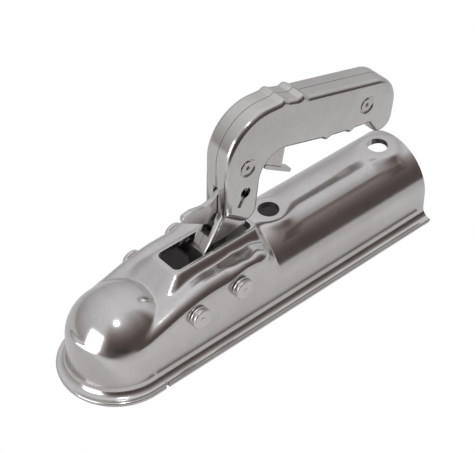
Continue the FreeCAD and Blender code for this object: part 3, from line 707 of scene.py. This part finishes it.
FLOOR_HALF = 3000.0
# The pool and its edges, the dark tone beyond it and the glow below are painted light on the floor,
# which only the metal sees: a painted dark emission ahead of the head and a painted glow added to
# the lamp-lit floor.
POOL_CENTRE = (0.09, -0.02)
POOL_EDGE = (0.16, 0.42)
DARK_AHEAD = (0.20, 0.60)
GLOW_NEAR = (0.008, 0.022)
GLOW_FAR = (0.04, 0.10)
GLOW, GLOW_BASE = 0.13, 0.02
FLOOR_TONE = (0.8, 0.8, 0.8, 1)
FLOOR_PAINTED_DARK = (0.075, 0.062, 0.058, 1)

# Room: an edge is a share of -Y or +X in the level direction, or a height; a brightness is at
# the horizon, and its rise is what is added straight up
WALL_EDGE = (0.26, 0.62)
REAR_EDGE = (-0.4, 0.4)
PALE_FRONT, PALE_FRONT_RISE = 0.36, 0.45
PALE_REAR, PALE_REAR_RISE = 0.50, 0.36
GLOOM, GLOOM_RISE, GLOOM_POWER = 0.085, 0.80, 4.0
DARKEST_START, DARKEST_END = (-0.80, -0.50), (-0.35, 0.0)
DARKEST_HEIGHT = (0.0, 0.35)
DARKEST_LOSS = 0.55
TINT_EDGE = (0.0, 0.6)
WARM_TINT, PLAIN_TINT = (1.22, 0.95, 0.88), (1.0, 1.0, 1.005)


def make_floor():
    """White floor: the camera sees it as plain white, the metal sees a pool round the head.

    The pool is painted light over the lamp-lit floor: in front, beyond the pool's edge, the
    floor is painted as dark as the wall with a dark emission. The edge lies further out towards
    the rear, and a painted glow is added to the pool, faint all over and stronger close to the
    head's left side.
    """
    points = np.array([(-1, -1, 0), (1, -1, 0), (1, 1, 0), (-1, 1, 0)]) * FLOOR_HALF
    points[:, 2] = FLANGE_BOTTOM_Z
    mesh = mesh_of("floor", points, [[0, 1, 2, 3]])
    floor = link_new("floor", mesh)
    material, tree = new_material("floor_white")
    place = source(tree, "ShaderNodeTexCoord", "Object")
    offset = add_node(tree, "ShaderNodeVectorMath", {"operation": "SUBTRACT"},
                      {0: place, 1: POOL_CENTRE + (FLANGE_BOTTOM_Z * MM,)})
    length = tree.nodes.new("ShaderNodeVectorMath")
    length.operation = "LENGTH"
    tree.links.new(offset.socket, length.inputs[0])
    away = Value(tree, length.outputs["Value"])
    rearwards, inwards, _ = parts_of(tree, offset)
    sideways = rearwards / (away + 0.001)
    ahead = inwards / (away + 0.001) * -1.0
    reach = away - sideways.step(-0.6, 0.5) * 0.35 - sideways.step(-0.95, -0.5) * 0.05 + 0.05
    # Painted pool of light: the mask is 1 where the metal sees the lamp-lit floor with its painted
    # glow, and 0 where it sees the painted dark
    painted_pool = 1.0 - reach.step(*POOL_EDGE) * ahead.step(*DARK_AHEAD)
    in_front = inwards * -1.0
    # Painted glow: an emission added to the floor, faint everywhere and stronger in a band close to
    # the head's left side
    bright = in_front.step(*GLOW_NEAR) * (1.0 - in_front.step(*GLOW_FAR)) * GLOW + GLOW_BASE
    level = add_node(tree, "ShaderNodeCombineXYZ", {}, {"X": bright, "Y": bright, "Z": bright})
    painted_glow = emission(tree, level)
    diffuse = add_node(tree, "ShaderNodeBsdfDiffuse", {}, {"Color": FLOOR_TONE})
    lit_with_painted_glow = add_node(tree, "ShaderNodeAddShader", {}, {0: diffuse, 1: painted_glow})
    # Painted dark floor beyond the pool, as dark as the wall, an emission seen only in reflections
    dark = emission(tree, FLOOR_PAINTED_DARK)
    seen = add_node(tree, "ShaderNodeMixShader", {}, {0: painted_pool, 1: dark, 2: lit_with_painted_glow})
    camera_ray = source(tree, "ShaderNodeLightPath", "Is Camera Ray")
    white = emission(tree, (1, 1, 1, 1))
    both = add_node(tree, "ShaderNodeMixShader", {}, {0: camera_ray, 1: seen, 2: white})
    close_tree(tree, "ShaderNodeOutputMaterial", both)
    mesh.materials.append(material)


def make_world():
    """Studio round the head: a dark wall in front that pales towards the ceiling, pale elsewhere.

    The camera sees plain white. The wall stands on the -Y side and is darkest low down in a
    band towards -X.
    """
    world = bpy.data.worlds.new("studio")
    bpy.context.scene.world = world
    world.use_nodes = True
    tree = world.node_tree
    tree.nodes.clear()
    x, y, z = parts_of(tree, source(tree, "ShaderNodeTexCoord", "Generated"))
    height = z.clamp()
    level = (x * x + y * y + 0.0001).math("SQRT")
    across = x / level
    wall = (y / level * -1.0).step(*WALL_EDGE)
    rear = across.step(*REAR_EDGE)
    pale_front = height * PALE_FRONT_RISE + PALE_FRONT
    pale_rear = height * PALE_REAR_RISE + PALE_REAR
    pale = pale_front * (1.0 - rear) + pale_rear * rear
    band = across.step(*DARKEST_START) * (1.0 - across.step(*DARKEST_END))
    darkest = band * (1.0 - height.step(*DARKEST_HEIGHT))
    gloom = (height ** GLOOM_POWER * GLOOM_RISE + GLOOM) * (1.0 - darkest * DARKEST_LOSS)
    bright = pale * (1.0 - wall) + gloom * wall
    tint = mix_colour(tree, bright.step(*TINT_EDGE), WARM_TINT, PLAIN_TINT)
    room = add_node(tree, "ShaderNodeVectorMath", {"operation": "SCALE"},
                    {0: tint, "Scale": bright})
    camera_ray = source(tree, "ShaderNodeLightPath", "Is Camera Ray")
    colour = mix_colour(tree, camera_ray, room, (1.0, 1.0, 1.0))
    background = add_node(tree, "ShaderNodeBackground", {}, {"Color": colour, "Strength": 1.0})
    close_tree(tree, "ShaderNodeOutputWorld", background)


def soft_box(name, place, width, height, power):
    """Rectangular lamp that looks at the origin; sizes in metres, power in watts."""
    data = bpy.data.lights.new(name, "AREA")
    data.shape = "RECTANGLE"
    data.size = width
    data.size_y = height
    data.energy = power
    lamp = link_new(name, data)
    lamp.location = Vector(place)
    lamp.rotation_mode = "QUATERNION"
    lamp.rotation_quaternion = (-Vector(place)).to_track_quat("-Z", "Y")


make_floor()
make_world()
soft_box("top_box", (-0.25, -0.45, 1.25), 0.12, 0.12, 1.6)
soft_box("side_box", (-1.1, -0.03, 0.36), 0.70, 0.75, 5.0)

bpy.context.scene.view_settings.view_transform = "Standard"
